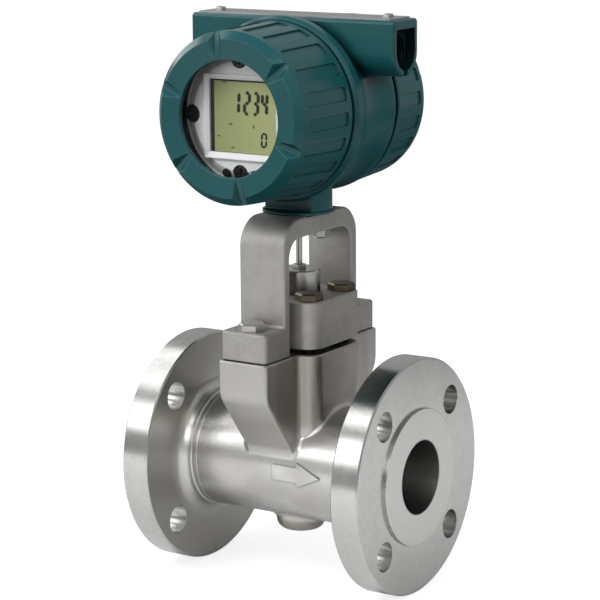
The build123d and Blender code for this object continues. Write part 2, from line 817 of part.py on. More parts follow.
def cover(joint_y, outward, depth, shoulder):
    """A screwed cover: a tapered side with recesses, a notched face and a spigot."""
    bevel_start = depth - cover_face_bevel
    side_start = shoulder + cover_edge_bevel
    side_run = bevel_start - side_start
    taper = math.degrees(math.atan2(cover_radius - cover_face_radius, side_run))
    groove_radius = ring_inner_radius - ring_clearance
    groove_width = ring_section + 2 * ring_clearance
    spigot = [
        (0, groove_radius),
        (-groove_width, groove_radius),
        (-groove_width, spigot_radius),
        (cover_edge_bevel - spigot_length, spigot_radius),
        (-spigot_length, spigot_radius - cover_edge_bevel),
        (-spigot_length, cover_cavity_radius),
        (0, cover_cavity_radius),
    ]
    cap = [
        (0, 0),
        (0, joint_ring_radius),
        (shoulder, joint_ring_radius),
        (shoulder, cover_radius - cover_edge_bevel),
        (side_start, cover_radius),
        (bevel_start, cover_face_radius),
        (depth, cover_face_radius - cover_face_bevel),
        (depth - window_dish, window_radius),
        (depth - window_dish, 0),
    ]
    pocket_length = depth - shoulder - pocket_front_margin - pocket_start
    pocket_middle = shoulder + pocket_start + pocket_length / 2
    lost_radius = (cover_radius - cover_face_radius) * (pocket_middle - side_start) / side_run
    surface = cover_radius - lost_radius
    notch_tilt = math.degrees(math.atan2(notch_depth, cover_face_radius - notch_inner_radius))
    pocket = side_pocket(pocket_length)
    notch = face_notch()
    with BuildPart() as shell:
        with BuildSketch(drum_plane(joint_y, outward)):
            with BuildLine():
                Polyline(*cap, close=True)
            make_face()
            with BuildLine():
                Polyline(*spigot, close=True)
            make_face()
        revolve(axis=housing_axis)
        with Locations(disc_plane(joint_y + outward * pocket_middle, outward)):
            with PolarLocations(surface - pocket_depth, pocket_count, start_angle=pocket_phase):
                add(pocket, rotation=(0, -taper, 0), mode=Mode.SUBTRACT)
        with Locations(disc_plane(joint_y + outward * (depth - window_dish), outward)):
            with PolarLocations(notch_inner_radius, notch_count, start_angle=notch_phase):
                add(notch, rotation=(0, notch_tilt, 0), mode=Mode.SUBTRACT)
    return shell.part


front_shell = cover(front_joint_y, -1, front_cover_depth, front_groove_width)
lip_back_y = front_joint_y - front_cover_depth + lip_thickness

with BuildPart() as front_cover:
    add(front_shell)
    with BuildSketch(disc_plane(front_joint_y + spigot_length, -1)):
        Circle(cover_cavity_radius)
    extrude(amount=front_joint_y + spigot_length - glass_back_y, mode=Mode.SUBTRACT)
    with BuildSketch(disc_plane(front_joint_y + spigot_length, -1)):
        Circle(glass_radius + slip)
    extrude(amount=front_joint_y + spigot_length - lip_back_y, mode=Mode.SUBTRACT)
    with BuildSketch(disc_plane(front_joint_y, -1)):
        Circle(window_radius)
    extrude(amount=front_cover_depth, mode=Mode.SUBTRACT)

with BuildPart() as window_gasket:
    with BuildSketch(disc_plane(lip_back_y, 1)):
        Circle(glass_radius)
        Circle(window_gasket_inner, mode=Mode.SUBTRACT)
    extrude(amount=window_gasket_thickness)

with BuildPart() as window_glass:
    with BuildSketch(disc_plane(glass_front_y, 1)):
        Circle(glass_radius)
    extrude(amount=glass_thickness)
    chamfer(window_glass.edges(), glass_bevel)

with BuildPart() as glass_retainer:
    with BuildSketch(disc_plane(glass_back_y, 1)):
        Circle(cover_cavity_radius - slip)
        Circle(retainer_inner_radius, mode=Mode.SUBTRACT)
    extrude(amount=retainer_thickness)

with BuildPart() as rear_cover:
    add(cover(rear_joint_y, 1, rear_cover_depth, rear_groove_width))
    with BuildSketch(disc_plane(rear_joint_y - spigot_length, 1)):
        Circle(cover_cavity_radius)
    extrude(amount=spigot_length + rear_cover_depth - rear_face_wall, mode=Mode.SUBTRACT)

ring_offset = ring_section / 2 + ring_clearance
ring_middle_radius = ring_inner_radius + ring_section / 2

with BuildPart() as front_o_ring:
    with Locations((0, front_joint_y + ring_offset, housing_z)):
        Torus(ring_middle_radius, ring_section / 2, rotation=(90, 0, 0))

with BuildPart() as rear_o_ring:
    with Locations((0, rear_joint_y - ring_offset, housing_z)):
        Torus(ring_middle_radius, ring_section / 2, rotation=(90, 0, 0))

# The display bezel is a shallow moulding with an opening for the LCD.
bezel_profile = [
    (0, bezel_face_radius),
    (bezel_slope_depth, bezel_step_radius),
    (bezel_slope_depth, bezel_skirt_radius),
    (bezel_depth, bezel_skirt_radius),
    (bezel_depth, bezel_skirt_radius - bezel_wall),
    (bezel_slope_depth + bezel_wall, bezel_skirt_radius - bezel_wall),
    (bezel_slope_depth + bezel_wall, bezel_face_radius),
    (bezel_wall, bezel_face_radius - bezel_wall),
    (bezel_wall, 0),
    (0, 0),
]

with BuildPart() as display_bezel:
    add(turned(bezel_profile, drum_plane(bezel_face_y, 1), housing_axis))
    with BuildSketch(disc_plane(screw_seat_y, -1)):
        with PolarLocations(display_screw_circle, display_screw_count):
            Circle(display_screw_head_radius + slip)
        Circle(bezel_skirt_radius - bezel_wall / 2, mode=Mode.INTERSECT)
    extrude(amount=screw_seat_y - board_front_y)
    with BuildSketch(disc_plane(screw_seat_y, -1)):
        with PolarLocations(display_screw_circle, display_screw_count):
            Circle(display_screw_head_radius + slip)
    extrude(amount=screw_seat_drop, mode=Mode.SUBTRACT)
    with BuildSketch(disc_plane(screw_seat_y, -1)):
        with PolarLocations(display_screw_circle, display_screw_count):
            Circle(display_screw_radius + slip)
    extrude(amount=-bezel_depth, mode=Mode.SUBTRACT)
    with BuildSketch(disc_plane(bezel_face_y, -1)):
        with Locations((lcd_x, 0)):
            Rectangle(lcd_width + 2 * lcd_margin, lcd_height + 2 * lcd_margin)
        with Locations((0, -button_drop)):
            with GridLocations(2 * button_x, 0, 2, 1):
                Circle(button_radius + button_clearance)
    extrude(amount=-bezel_depth, mode=Mode.SUBTRACT)
    with BuildSketch(disc_plane(button_flange_y - button_clearance, -1)):
        with Locations((0, -button_drop)):
            with GridLocations(2 * button_x, 0, 2, 1):
                Circle(button_flange_radius + button_clearance)
    extrude(amount=-bezel_depth, mode=Mode.SUBTRACT)

with BuildPart() as lcd_panel:
    with BuildSketch(disc_plane(bezel_face_y + lcd_recess, -1)):
        with Locations((lcd_x, 0)):
            Rectangle(lcd_width, lcd_height)
    extrude(amount=bezel_face_y + lcd_recess - board_front_y)

with BuildPart() as display_board:
    with BuildSketch(disc_plane(board_front_y, 1)):
        Circle(bezel_skirt_radius - bezel_wall - 2 * slip)
        with PolarLocations(display_screw_circle, display_screw_count):
            Circle(display_screw_radius + slip, mode=Mode.SUBTRACT)
    extrude(amount=board_thickness)

display_screw = pan_screw(
    display_screw_head_radius, display_screw_head_height, display_screw_radius, display_screw_length
)

with BuildPart() as display_screws:
    with Locations(disc_plane(screw_seat_y, -1)):
        with PolarLocations(display_screw_circle, display_screw_count):
            add(display_screw)

with BuildPart() as display_standoffs:
    with BuildSketch(disc_plane(standoff_front_y, 1)):
        with PolarLocations(display_screw_circle, display_screw_count):
            Circle(standoff_radius)
        with PolarLocations(display_screw_circle, display_screw_count):
            Circle(display_screw_radius + slip, mode=Mode.SUBTRACT)
    extrude(amount=standoff_length)


def push_button(x):
    """A round button with a flange behind the bezel, resting clear of its switch."""
    with BuildPart() as button:
        with BuildSketch(disc_plane(bezel_face_y - button_stand, -1)):
            with Locations((x, -button_drop)):
                Circle(button_radius)
        extrude(amount=bezel_face_y - button_stand - button_flange_y)
        with BuildSketch(disc_plane(button_flange_y, -1)):
            with Locations((x, -button_drop)):
                Circle(button_flange_radius)
        extrude(amount=-button_flange_thickness)
        fillet(button.faces().sort_by(Axis.Y)[0].edges(), button_edge)
    return button.part


with BuildPart() as left_button:
    add(push_button(-button_x))

with BuildPart() as right_button:
    add(push_button(button_x))

with BuildPart() as amplifier_unit:
    with BuildSketch(disc_plane(amplifier_front_y, -1)):
        Circle(amplifier_radius)
    extrude(amount=-amplifier_depth)
    chamfer(amplifier_unit.faces().sort_by(Axis.Y)[0].edges(), amplifier_bevel)
    with BuildSketch(disc_plane(amplifier_front_y, -1)):
        with PolarLocations(amplifier_screw_circle, amplifier_screw_count, start_angle=45):
            Circle(amplifier_screw_radius + slip)
    extrude(amount=-amplifier_depth, mode=Mode.SUBTRACT)

amplifier_screw = pan_screw(
    amplifier_screw_head_radius, amplifier_screw_head_height, amplifier_screw_radius,
    amplifier_depth + partition_hole_depth - screw_end_gap,
)

with BuildPart() as amplifier_screws:
    with Locations(disc_plane(amplifier_front_y, -1)):
        with PolarLocations(amplifier_screw_circle, amplifier_screw_count, start_angle=45):
            add(amplifier_screw)

# The terminal block stands on the partition, behind the rear cover.
with BuildPart() as terminal_block:
    with BuildSketch(disc_plane(partition_rear_y, 1)):
        with Locations((0, terminal_drop)):
            RectangleRounded(terminal_width, terminal_height, terminal_corner)
    extrude(amount=terminal_depth)
    with BuildSketch(disc_plane(terminal_face_y, -1)):
        with Locations((0, terminal_drop)):
            with GridLocations(terminal_pitch, 0, terminal_count, 1):
                Rectangle(terminal_slot_width, terminal_slot_height)
    extrude(amount=terminal_slot_depth, mode=Mode.SUBTRACT)
    with Locations(disc_plane(terminal_face_y, 1)):
        with Locations((0, terminal_drop)):
            with GridLocations(terminal_pitch, 0, terminal_count, 1):
                Hole(terminal_screw_radius + slip, terminal_hole_depth)
            with GridLocations(2 * fixing_screw_x, 0, 2, 1):
                Hole(fixing_screw_radius + slip, terminal_depth)

terminal_screw = pan_screw(
    terminal_screw_head_radius, terminal_screw_head_height, terminal_screw_radius, terminal_screw_length
)

with BuildPart() as terminal_screws:
    with Locations(disc_plane(terminal_face_y - terminal_slot_depth, 1)):
        with Locations((0, terminal_drop)):
            with GridLocations(terminal_pitch, 0, terminal_count, 1):
                add(terminal_screw)

fixing_screw = pan_screw(
    fixing_screw_head_radius, terminal_screw_head_height, fixing_screw_radius,
    terminal_depth + partition_hole_depth - screw_end_gap,
)

with BuildPart() as terminal_fixing_screws:
    with Locations(disc_plane(terminal_face_y, 1)):
        with Locations((0, terminal_drop)):
            with GridLocations(2 * fixing_screw_x, 0, 2, 1):
                add(fixing_screw)

with BuildPart() as nameplate:
    with BuildSketch(Plane.XY.offset(entry_top_z)):
        with Locations((0, entry_y)):
            RectangleRounded(plate_length, plate_width, plate_corner)
            with GridLocations(2 * plate_screw_x, 0, 2, 1):
                Circle(plate_screw_radius + slip, mode=Mode.SUBTRACT)
    extrude(amount=plate_thickness)

plate_screw = pan_screw(
    plate_screw_head_radius, plate_screw_head_height, plate_screw_radius, plate_screw_length - slip
)

with BuildPart() as nameplate_screws:
    with Locations((0, entry_y, entry_top_z + plate_thickness)):
        with GridLocations(2 * plate_screw_x, 0, 2, 1):
            add(plate_screw)

nodes = {
    "meter_body": meter_body,
    "inlet_flange": inlet_flange,
    "outlet_flange": outlet_flange,
    "shedder_bar": shedder_bar,
    "shedder_gasket": shedder_gasket,
    "shedder_block": shedder_block,
    "shedder_bolts": shedder_bolts,
    "vibration_sensor": vibration_sensor,
    "sensor_cap": sensor_cap,
    "lead_tube_gland": lead_tube_gland,
    "lead_tube": lead_tube,
    "bracket": bracket,
    "bracket_bolts": bracket_bolts,
    "neck_screws": neck_screws,
    "housing_body": housing_body,
    "front_cover": front_cover,
    "window_gasket": window_gasket,
    "window_glass": window_glass,
    "glass_retainer": glass_retainer,
    "front_o_ring": front_o_ring,
    "rear_cover": rear_cover,
    "rear_o_ring": rear_o_ring,
    "display_bezel": display_bezel,
    "lcd_panel": lcd_panel,
    "display_board": display_board,
    "display_screws": display_screws,
    "display_standoffs": display_standoffs,
    "left_button": left_button,
    "right_button": right_button,
    "amplifier_unit": amplifier_unit,
    "amplifier_screws": amplifier_screws,
    "terminal_block": terminal_block,
    "terminal_screws": terminal_screws,
    "terminal_fixing_screws": terminal_fixing_screws,
    "nameplate": nameplate,
    "nameplate_screws": nameplate_screws,
}

os.makedirs("parts", exist_ok=True)
for node, piece in nodes.items():
    piece.part.label = node
    export_step(piece.part, f"parts/{node}.step")
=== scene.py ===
"""The looks of a vortex flow meter: finishes, display digits, welds, threads, light and camera."""

import math

import bmesh
import bpy
from mathutils import Matrix, Vector


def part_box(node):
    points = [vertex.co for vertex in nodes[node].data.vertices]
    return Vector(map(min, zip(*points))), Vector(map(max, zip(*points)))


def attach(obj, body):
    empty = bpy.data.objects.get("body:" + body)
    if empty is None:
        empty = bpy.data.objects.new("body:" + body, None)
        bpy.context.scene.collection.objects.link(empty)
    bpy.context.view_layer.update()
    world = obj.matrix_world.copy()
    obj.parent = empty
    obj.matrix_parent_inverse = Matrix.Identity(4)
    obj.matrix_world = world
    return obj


MM = 0.001
FULL_TURN = 2.0 * math.pi

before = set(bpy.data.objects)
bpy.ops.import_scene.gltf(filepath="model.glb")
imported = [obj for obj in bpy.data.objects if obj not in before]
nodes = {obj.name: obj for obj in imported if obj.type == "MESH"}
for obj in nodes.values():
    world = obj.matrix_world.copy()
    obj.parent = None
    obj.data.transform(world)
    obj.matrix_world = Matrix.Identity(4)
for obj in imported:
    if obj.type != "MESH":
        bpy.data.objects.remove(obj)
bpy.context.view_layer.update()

# Places read from the frame
COVER_LOW, COVER_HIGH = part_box("front_cover")
HOUSING_Z = (COVER_LOW.z + COVER_HIGH.z) / 2
HOUSING_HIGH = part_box("housing_body")[1]
REAR_END_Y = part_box("rear_cover")[1].y
LCD_LOW, LCD_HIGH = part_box("lcd_panel")
LCD_MIDDLE_X = (LCD_LOW.x + LCD_HIGH.x) / 2
BEZEL_FRONT_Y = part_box("display_bezel")[0].y
WELD_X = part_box("meter_body")[1].x
FLOOR_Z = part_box("outlet_flange")[0].z
GAP_TOP_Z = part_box("shedder_block")[0].z

# Sizes of the solids that no box gives
TUBE_RADIUS = 31.5 * MM
FLANGE_BACK_X = 57.5 * MM
ENTRY_AXIS_Y = 5.1 * MM
ENTRY_AXIS_Z = 222.9 * MM
MOUTH_RADIUS = 9.5 * MM
MOUTH_TOP_Z = 235.0 * MM
MOUTH_START_X = 38.0 * MM

# Where one look gives way to another: the start and the end of each change.
# Out from the pipe's axis
BORE_TO_FACE = (19.9 * MM, 20.6 * MM)
TUBE_TO_WINGS = (32.5 * MM, 37.0 * MM)
HUB_TO_FACE = (33.0 * MM, 42.0 * MM)
FACE_TO_RIM = (62.3 * MM, 62.8 * MM)
# Below the pipe's axis, and above it
TUBE_TO_BOSS = (31.0 * MM, 33.5 * MM)
TUBE_TO_PEDESTAL = (16.0 * MM, 34.0 * MM)
# To the front and the rear of the pipe's axis
PEDESTAL_TO_WING_ENDS = (43.59 * MM, 48.99 * MM)
# Along the pipe, to both sides of its middle
BACK_TO_FLANGE = (FLANGE_BACK_X, FLANGE_BACK_X + 0.4 * MM)
BARREL_TO_MOUTH = (MOUTH_START_X - 2.0 * MM, MOUTH_START_X)
# Out through the mouths' walls and ceilings, and up from the gap under the block
MOUTH_WALL = (MOUTH_RADIUS, MOUTH_RADIUS + 0.2 * MM)
MOUTH_CEILING = (MOUTH_TOP_Z, MOUTH_TOP_Z + 0.2 * MM)
GAP_TO_BLOCK = (GAP_TOP_Z, GAP_TOP_Z + 2.0 * MM)

# Camera, fitted to the photograph
CAMERA_AZIMUTH = 32.47
CAMERA_ELEVATION = 11.578
CAMERA_ROLL = -0.424
CAMERA_DISTANCE = 1.2497
CAMERA_TARGET = Vector((6.94, -10.47, 90.24)) * MM
CAMERA_CLIP = (0.05, 50.0)
FOCAL_PIXELS = 2353.0
FRAME_PIXELS = 600.0
SENSOR_WIDTH = 36.0

# Colours, as linear values
TEAL = (0.0075, 0.070, 0.077)
# Painted shade inside the cable entries' mouths
MOUTH_SHADE = (0.003, 0.010, 0.009)
BLASTED_STEEL = (0.43, 0.42, 0.40)
CAST_STEEL = (0.50, 0.49, 0.47)
BROWNED_STEEL = (0.40, 0.375, 0.335)
BOSS_STEEL = (0.36, 0.34, 0.31)
GROUND_STEEL = (0.70, 0.69, 0.67)
TURNED_STEEL = (0.60, 0.60, 0.585)
STAINED_STEEL = (0.492, 0.4756, 0.4346)
DULL_STEEL = (0.36, 0.35, 0.33)
POLISHED_STEEL = (0.54, 0.53, 0.50)
BRONZED_STEEL = (0.115, 0.095, 0.064)
# Painted shade down in the gap under the shedder block
GAP_SHADE = (0.006, 0.005, 0.004)
BOLT_STEEL = (0.50, 0.49, 0.46)
PLATE_METAL = (0.50, 0.51, 0.51)
BRASS = (0.60, 0.42, 0.16)
PALE_PLASTIC = (0.84, 0.85, 0.85)
GREY_PLASTIC = (0.10, 0.10, 0.10)
BLACK = (0.010, 0.010, 0.010)
GRAPHITE = (0.02, 0.02, 0.02)
BOARD_GREEN = (0.01, 0.09, 0.035)
GLASS_TINT = (0.02, 0.03, 0.03)
LCD_OLIVE = (0.37, 0.40, 0.175)
DIGIT_BLACK = (0.008, 0.010, 0.007)
MARK_OLIVE = (0.10, 0.115, 0.06)

# What finishes share
METAL = {"Metallic": 1.0}
EDGE_SAMPLES = 6
OPENNESS_SAMPLES = 8


class Value:
    """A shader socket that takes part in Python arithmetic by adding Math nodes."""

    def __init__(self, shader, socket):
        self.shader = shader
        self.socket = socket

    def math(self, operation, *others):
        inputs = dict(enumerate((self, *others)))
        return self.shader.node("ShaderNodeMath", inputs, operation=operation)

    def __add__(self, other):
        return self.math("ADD", other)

    __radd__ = __add__

    def __sub__(self, other):
        return self.math("SUBTRACT", other)

    def __rsub__(self, other):
        return self.math("MULTIPLY_ADD", -1.0, other)

    def __mul__(self, other):
        return self.math("MULTIPLY", other)

    __rmul__ = __mul__


def hypot(first, second):
    """The distance that two values at right angles make."""
    return (first * first + second * second).math("SQRT")


def ripple(along, pitch):
    """A sine wave along a value, from -1 to 1."""
    return (along * (FULL_TURN / pitch)).math("SINE")


def tinted(color, factor):
    return tuple(channel * factor for channel in color)


def grey(level):
    return (level, level, level)


class Finish:
    """One material: a Principled shader, and short ways to add nodes to it."""

    def __init__(self, name, constants=None):
        self.material = bpy.data.materials.new(name)
        self.material.use_nodes = True
        self.tree = self.material.node_tree
        self.principled = self.tree.nodes["Principled BSDF"]
        for key, constant in (constants or {}).items():
            self.set(key, constant)
        self.place = self.node("ShaderNodeTexCoord", {}, "Object")

    def node(self, kind, inputs, output=0, **settings):
        """Adds a node: its settings first, then the values or links of its sockets."""
        made = self.tree.nodes.new(kind)
        for key, setting in settings.items():
            setattr(made, key, setting)
        for key, given in inputs.items():
            self.feed(made.inputs[key], given)
        return Value(self, made.outputs[output])

    def feed(self, socket, given):
        if isinstance(given, Value):
            self.tree.links.new(given.socket, socket)
        else:
            socket.default_value = given

    def set(self, name, given):
        self.feed(self.principled.inputs[name], given)

    def axes(self, vector=None):
        """The X, Y and Z of the surface's place, or of another vector."""
        split = self.tree.nodes.new("ShaderNodeSeparateXYZ")
        self.feed(split.inputs[0], vector or self.place)
        return [Value(self, socket) for socket in split.outputs]

    def noise(self, scale, detail=3.0, roughness=0.55, stretch=None):
        """Cloudy variation from 0 to 1, with features of about 1 / scale metres."""
        place = self.place
        if stretch:
            place = self.node("ShaderNodeMapping", {"Vector": self.place, "Scale": stretch})
        return self.node(
            "ShaderNodeTexNoise",
            {"Vector": place, "Scale": scale, "Detail": detail, "Roughness": roughness},
        )

    def ramp(self, factor, low, high):
        """0 below low, 1 above high, and smooth between them."""
        inputs = {"Value": factor, "From Min": low, "From Max": high}
        return self.node("ShaderNodeMapRange", inputs, interpolation_type="SMOOTHSTEP")

    def twin_ramp(self, factor, low, high):
        """0 between -low and low, and 1 beyond -high and high."""
        return self.ramp(factor * factor, low ** 2, high ** 2)

    def blend(self, factor, first, second):
        """A colour between two colours."""
        made = self.tree.nodes.new("ShaderNodeMix")
        made.data_type = "RGBA"
        self.feed(made.inputs["Factor"], factor)
        colour_inputs = [s for s in made.inputs if s.type == "RGBA"]
        for socket, given in zip(colour_inputs, (first, second)):
            self.feed(socket, given if isinstance(given, Value) else (*given, 1.0))
        return Value(self, [s for s in made.outputs if s.type == "RGBA"][0])

    def clouded(self, mask, color, low, high):
        """A colour times low where the mask is 0, and times high where it is 1."""
        return self.blend(mask, tinted(color, low), tinted(color, high))

    def stained(self, shade, stain, mask, amount):
        """The shade, moved by this amount towards a stain's colour where the mask is 1."""
        return self.blend(mask * amount, shade, stain)

    def openness(self, distance):
        """1 where the surface lies open, and towards 0 deep in corners and holes."""
        inputs = {"Distance": distance}
        return self.node("ShaderNodeAmbientOcclusion", inputs, "AO", samples=OPENNESS_SAMPLES)

    def shaded_in_hollows(self, shade, hollow_shade, distance=6.0 * MM, low=0.05, high=0.85):
        """The shade with a painted shade: darker where the surface lies deep in a corner, a hole
        or a groove.
        """
        return self.blend(self.ramp(self.openness(distance), low, high), hollow_shade, shade)

    def roughen(self, base, *layers):
        """Sets the roughness: a base, and what each mask adds to it where the mask is 1."""
        total = base
        for mask, amount in layers:
            total = total + mask * amount
        self.set("Roughness", total)

    def emboss(self, height, depth, strength, edge):
        """Sets a fine relief, and shades edges as if they were rounded by the edge radius."""
        soft = self.node("ShaderNodeBevel", {"Radius": edge}, samples=EDGE_SAMPLES)
        relief = self.node(
            "ShaderNodeBump",
            {"Height": height, "Distance": depth, "Strength": strength, "Normal": soft},
        )
        self.set("Normal", relief)
        return relief

    def mix_with(self, inputs, factor):
        """Shows a second Principled shader where the factor is 0 and this one where it is 1."""
        second = self.node("ShaderNodeBsdfPrincipled", inputs)
        first = Value(self, self.principled.outputs[0])
        mix = self.node("ShaderNodeMixShader", {0: factor, 1: second, 2: first})
        self.feed(self.tree.nodes["Material Output"].inputs["Surface"], mix)


def blasted_finish():
    """Bead-blasted stainless steel: a fine even grain and faint clouds."""
    finish = Finish("blasted_steel", METAL)
    clouds = finish.noise(scale=45.0, detail=4.0)
    mottle = finish.noise(scale=260.0)
    grain = finish.noise(scale=2400.0, detail=2.0)
    worn = finish.ramp(mottle, low=0.35, high=0.75)
    spots = finish.noise(scale=110.0, detail=5.0, roughness=0.6)
    stains = finish.ramp(spots, low=0.48, high=0.70)
    shade = finish.clouded(clouds, BLASTED_STEEL, low=0.84, high=1.13)
    shade = finish.stained(shade, tinted(BLASTED_STEEL, 0.80), worn, amount=0.30)
    shade = finish.stained(shade, tinted(BLASTED_STEEL, 0.76), stains, amount=0.30)
    # Painted shade: darker deep in corners and hollows
    finish.set("Base Color", finish.shaded_in_hollows(shade, tinted(BLASTED_STEEL, 0.40)))
    finish.roughen(0.51, (clouds, 0.08), (mottle, 0.05))
    finish.emboss(grain + mottle * 1.5, depth=0.03 * MM, strength=0.45, edge=0.7 * MM)
    return finish.material


def cast_finish():
    """Cast and hand-ground stainless steel: brushed round the tube, blasted and browner above."""
    finish = Finish("cast_steel", METAL)
    _, y, z = finish.axes()
    off_tube = finish.ramp(hypot(y, z), *TUBE_TO_WINGS)
    boss = finish.ramp(z * -1.0, *TUBE_TO_BOSS)
    within_wings = 1.0 - finish.twin_ramp(y, *PEDESTAL_TO_WING_ENDS)
    browned = finish.ramp(z, *TUBE_TO_PEDESTAL) * within_wings
    clouds = finish.noise(scale=38.0, detail=4.0)
    patches = finish.noise(scale=60.0, roughness=0.5, stretch=(0.6, 1.0, 1.0))
    ground = finish.ramp(patches, low=0.32, high=0.74)
    brushed = finish.noise(scale=1300.0, roughness=0.6, stretch=(1.0, 0.10, 0.10))
    mottle = finish.noise(scale=300.0, roughness=0.6)
    swell = finish.noise(scale=85.0, roughness=0.5)
    # The colour of the painted shade in creases and hollows
    hollow_shade = tinted(CAST_STEEL, 0.35)
    shade = finish.clouded(clouds, CAST_STEEL, low=0.92, high=1.08)
    shade = finish.stained(shade, BROWNED_STEEL, browned, amount=0.75)
    shade = finish.stained(shade, tinted(CAST_STEEL, 0.66), brushed, amount=0.22)
    shade = finish.blend((1.0 - off_tube) * (0.4 + ground * 0.6), shade, GROUND_STEEL)
    shade = finish.blend(boss, shade, BOSS_STEEL)
    # Painted shade: darker in fine creases, such as round the flow arrow, and deep in hollows
    shade = finish.shaded_in_hollows(shade, hollow_shade, distance=1.8 * MM, low=0.45, high=0.95)
    finish.set("Base Color", finish.shaded_in_hollows(shade, hollow_shade, distance=5.0 * MM))
    finish.roughen(0.30, (off_tube, 0.10), (clouds, 0.08), (ground, -0.08))
    height = mottle * (0.6 + off_tube * 0.5) + brushed * (1.3 - off_tube) + swell * 3.5
    finish.emboss(height, depth=0.035 * MM, strength=0.6, edge=0.6 * MM)
    return finish.material


def turned_finish():
    """Steel turned on a lathe about X: fine rings on the faces and rounds, brushed on the hubs."""
    finish = Finish("turned_steel", METAL)
    x, y, z = finish.axes()
    radius = hypot(y, z)
    hub = 1.0 - finish.ramp(radius, *HUB_TO_FACE)
    bore = 1.0 - finish.ramp(radius, *BORE_TO_FACE)
    inner_side = 1.0 - finish.twin_ramp(x, *BACK_TO_FLANGE)
    back = inner_side * (1.0 - hub) * (1.0 - finish.ramp(radius, *FACE_TO_RIM))
    rings = ripple(radius, pitch=0.30 * MM)
    rounds = ripple(x, pitch=0.26 * MM)
    fine = finish.noise(scale=2600.0, detail=2.0, stretch=(1.0, 0.06, 0.06))
    band = finish.noise(scale=160.0, detail=2.0, stretch=(1.0, 0.02, 0.02))
    clouds = finish.noise(scale=24.0, detail=4.0)
    spots = finish.noise(scale=75.0, detail=4.0, roughness=0.6)
    stains = finish.ramp(spots, low=0.52, high=0.78)
    scuffs = finish.noise(scale=240.0, detail=5.0, roughness=0.7)
    face_marks = finish.ramp(scuffs, low=0.42, high=0.68) * (1.0 - hub)
    shade = finish.clouded(clouds, TURNED_STEEL, low=0.90, high=1.12)
    shade = finish.stained(shade, STAINED_STEEL, stains, amount=0.22)
    shade = finish.stained(shade, tinted(TURNED_STEEL, 0.84), band, amount=0.16)
    shade = finish.stained(shade, tinted(TURNED_STEEL, 0.80), face_marks, amount=0.38)
    shade = finish.stained(shade, GROUND_STEEL, hub * (1.0 - bore), amount=0.7)
    # Painted shade inside the bore
    shade = finish.blend(bore, shade, tinted(TURNED_STEEL, 0.62))
    shade = finish.blend(back * (0.55 + clouds * 0.4), shade, DULL_STEEL)
    # Painted shade: darker deep in holes and hollows
    finish.set("Base Color", finish.shaded_in_hollows(shade, tinted(TURNED_STEEL, 0.30), distance=9.0 * MM))
    finish.roughen(0.17, (clouds, 0.05), (stains, 0.05), (hub, 0.10), (back, 0.16))
    grooves = (rings * 0.5 + rounds * 0.5 + fine * 0.7) * (1.0 + bore * 4.5)
    finish.emboss(grooves + face_marks * 1.2, depth=0.005 * MM, strength=0.8, edge=0.4 * MM)
    return finish.material


def polished_finish():
    """Steel turned on a lathe about Z and polished."""
    finish = Finish("polished_steel", METAL)
    z = finish.axes()[2]
    clouds = finish.noise(scale=150.0)
    # The colour of the painted shade deep in hollows, set below
    hollow_shade = tinted(POLISHED_STEEL, 0.25)
    shade = finish.clouded(clouds, POLISHED_STEEL, low=0.82, high=1.08)
    finish.set("Base Color", finish.shaded_in_hollows(shade, hollow_shade, distance=9.0 * MM, low=0.3, high=0.95))
    finish.roughen(0.12, (clouds, 0.06))
    rounds = ripple(z, pitch=0.30 * MM)
    finish.emboss(rounds, depth=0.012 * MM, strength=0.8, edge=0.3 * MM)
    return finish.material


def in_mouths(finish):
    """1 inside the mouths of the cable entries, which are round below and open above."""
    x, y, z = finish.axes()
    under = (z - ENTRY_AXIS_Z).math("MINIMUM", 0.0)
    inside = 1.0 - finish.ramp(hypot(y - ENTRY_AXIS_Y, under), *MOUTH_WALL)
    inside = inside * (1.0 - finish.ramp(z, *MOUTH_CEILING))
    return inside * finish.twin_ramp(x, *BARREL_TO_MOUTH)


def enamel_finish():
    """Baked teal enamel with a slight orange peel, as sprayed over a die casting."""
    finish = Finish("teal_enamel", {"Specular IOR Level": 0.42})
    clouds = finish.noise(scale=30.0)
    dust = finish.ramp(finish.noise(scale=900.0, detail=2.0), low=0.68, high=0.82)
    exposed = finish.ramp(finish.openness(40.0 * MM), low=0.24, high=0.58)
    shade = finish.clouded(clouds, TEAL, low=0.92, high=1.08)
    shade = finish.stained(shade, tinted(TEAL, 1.9), dust, amount=0.10)
    # Painted shade: darker deep in hollows and grooves
    shade = finish.shaded_in_hollows(shade, tinted(TEAL, 0.12), distance=9.0 * MM)
    # Painted shade where the surface lies sheltered under overhangs, such as the neck under the
    # housing
    shade = finish.blend(exposed, tinted(TEAL, 0.3), shade)
    # Painted shade: nearly black inside the cable entries' mouths
    shade = finish.stained(shade, MOUTH_SHADE, in_mouths(finish), amount=0.85)
    finish.set("Base Color", shade)
    finish.roughen(0.18, (clouds, 0.08), (dust, 0.1))
    peel = finish.noise(scale=480.0, detail=2.0) + finish.noise(scale=1300.0, detail=1.0) * 0.3
    relief = finish.emboss(peel, depth=0.035 * MM, strength=0.5, edge=0.9 * MM)
    # Painted shade: the reflections dimmed to a matt sheen on what faces down or lies sheltered
    facing = finish.node("ShaderNodeTexCoord", {}, "Normal")
    faces_up = finish.ramp(finish.axes(facing)[2], low=-0.50, high=0.02)
    matt = {"Base Color": shade, "Roughness": 0.6, "Specular IOR Level": 0.06, "Normal": relief}
    finish.mix_with(matt, faces_up * exposed)
    return finish.material


def plain_metal(name, color, roughness, edge=0.25 * MM):
    """Drawn or machined metal with fine scratches."""
    finish = Finish(name, METAL)
    clouds = finish.noise(scale=180.0, detail=4.0)
    scratches = finish.noise(scale=2600.0, detail=2.0, stretch=(1.0, 0.15, 0.4))
    finish.set("Base Color", finish.clouded(clouds, color, low=0.78, high=1.18))
    finish.roughen(roughness, (clouds, 0.12))
    finish.emboss(scratches, depth=0.01 * MM, strength=0.5, edge=edge)
    return finish.material


